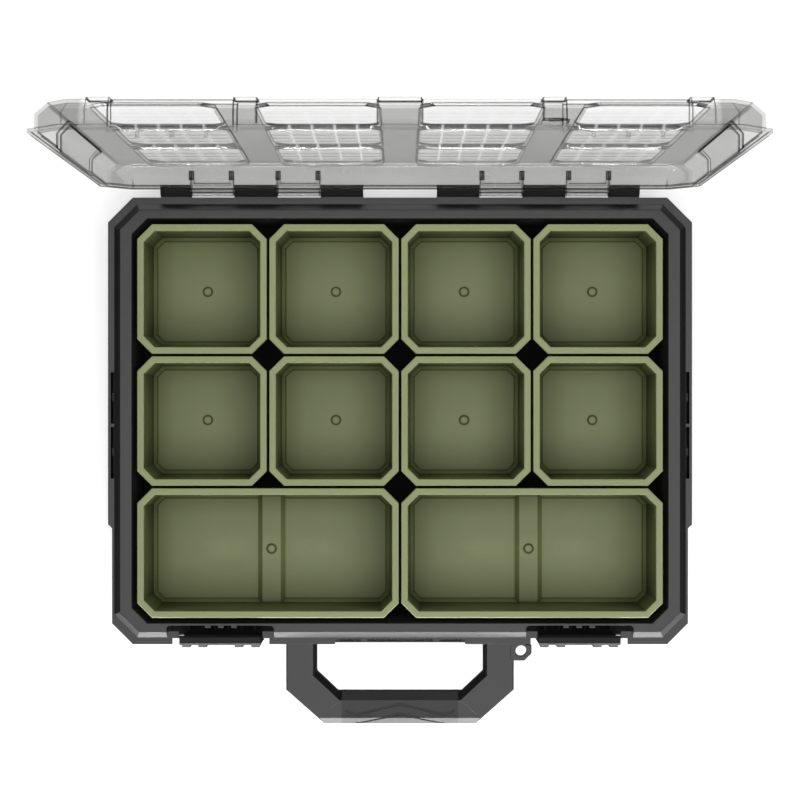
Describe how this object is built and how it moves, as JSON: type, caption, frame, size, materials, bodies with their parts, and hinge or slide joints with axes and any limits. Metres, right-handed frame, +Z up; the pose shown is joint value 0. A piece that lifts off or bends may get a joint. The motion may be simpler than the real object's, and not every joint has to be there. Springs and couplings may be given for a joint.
{
  "type": "organizer case",
  "caption": "Flat storage case: black tub with carrying handle and flip latches, lift-out open bins, and a clear hinged lid that stands open behind it.",
  "frame": {"origin": "middle of the tub's flat underside", "axes": "+X to the right seen from the handle, +Y towards the hinges, +Z up"},
  "size_m": [0.5076, 0.4867, 0.4563],
  "materials": {
    "tub": "fine matt texture",
    "grip": "soft matt overmould",
    "clear": "clear polycarbonate",
    "steel": "drawn wire",
    "latch": "fine matt texture",
    "bin": "satin olive green"
  },
  "bodies": {
    "tub": {"case_tub": "tub", "handle_grip": "grip", "label_window": "clear", "hinge_pin_left": "steel", "hinge_pin_right": "steel", "latch_pin_left": "steel", "latch_pin_right": "steel"},
    "lid": {"clear_lid": "clear"},
    "latch_left": {"latch_left": "latch"},
    "latch_right": {"latch_right": "latch"},
    "bin_back_1": {"bin_back_1": "bin"},
    "bin_back_2": {"bin_back_2": "bin"},
    "bin_back_3": {"bin_back_3": "bin"},
    "bin_back_4": {"bin_back_4": "bin"},
    "bin_middle_1": {"bin_middle_1": "bin"},
    "bin_middle_2": {"bin_middle_2": "bin"},
    "bin_middle_3": {"bin_middle_3": "bin"},
    "bin_middle_4": {"bin_middle_4": "bin"},
    "bin_front_left": {"bin_front_left": "bin"},
    "bin_front_right": {"bin_front_right": "bin"}
  },
  "joints": [
    {"name": "lid_hinge", "type": "hinge", "parent": "tub", "child": "lid", "pos_m": [0, 0.1981, 0.052], "axis": [-1, 0, 0], "range_deg": [-90.6, 0]},
    {"name": "latch_left_flip", "type": "hinge", "parent": "tub", "child": "latch_left", "pos_m": [-0.1542, -0.1886, 0.016], "axis": [1, 0, 0], "range_deg": [-5, 95]},
    {"name": "latch_right_flip", "type": "hinge", "parent": "tub", "child": "latch_right", "pos_m": [0.1542, -0.1886, 0.016], "axis": [1, 0, 0], "range_deg": [-5, 95]},
    {"name": "bin_back_1_lift", "type": "slide", "parent": "tub", "child": "bin_back_1", "axis": [0, 0, 1], "range_m": [0, 0.075]},
    {"name": "bin_back_2_lift", "type": "slide", "parent": "tub", "child": "bin_back_2", "axis": [0, 0, 1], "range_m": [0, 0.075]},
    {"name": "bin_back_3_lift", "type": "slide", "parent": "tub", "child": "bin_back_3", "axis": [0, 0, 1], "range_m": [0, 0.075]},
    {"name": "bin_back_4_lift", "type": "slide", "parent": "tub", "child": "bin_back_4", "axis": [0, 0, 1], "range_m": [0, 0.075]},
    {"name": "bin_middle_1_lift", "type": "slide", "parent": "tub", "child": "bin_middle_1", "axis": [0, 0, 1], "range_m": [0, 0.075]},
    {"name": "bin_middle_2_lift", "type": "slide", "parent": "tub", "child": "bin_middle_2", "axis": [0, 0, 1], "range_m": [0, 0.075]},
    {"name": "bin_middle_3_lift", "type": "slide", "parent": "tub", "child": "bin_middle_3", "axis": [0, 0, 1], "range_m": [0, 0.075]},
    {"name": "bin_middle_4_lift", "type": "slide", "parent": "tub", "child": "bin_middle_4", "axis": [0, 0, 1], "range_m": [0, 0.075]},
    {"name": "bin_front_left_lift", "type": "slide", "parent": "tub", "child": "bin_front_left", "axis": [0, 0, 1], "range_m": [0, 0.075]},
    {"name": "bin_front_right_lift", "type": "slide", "parent": "tub", "child": "bin_front_right", "axis": [0, 0, 1], "range_m": [0, 0.075]}
  ]
}
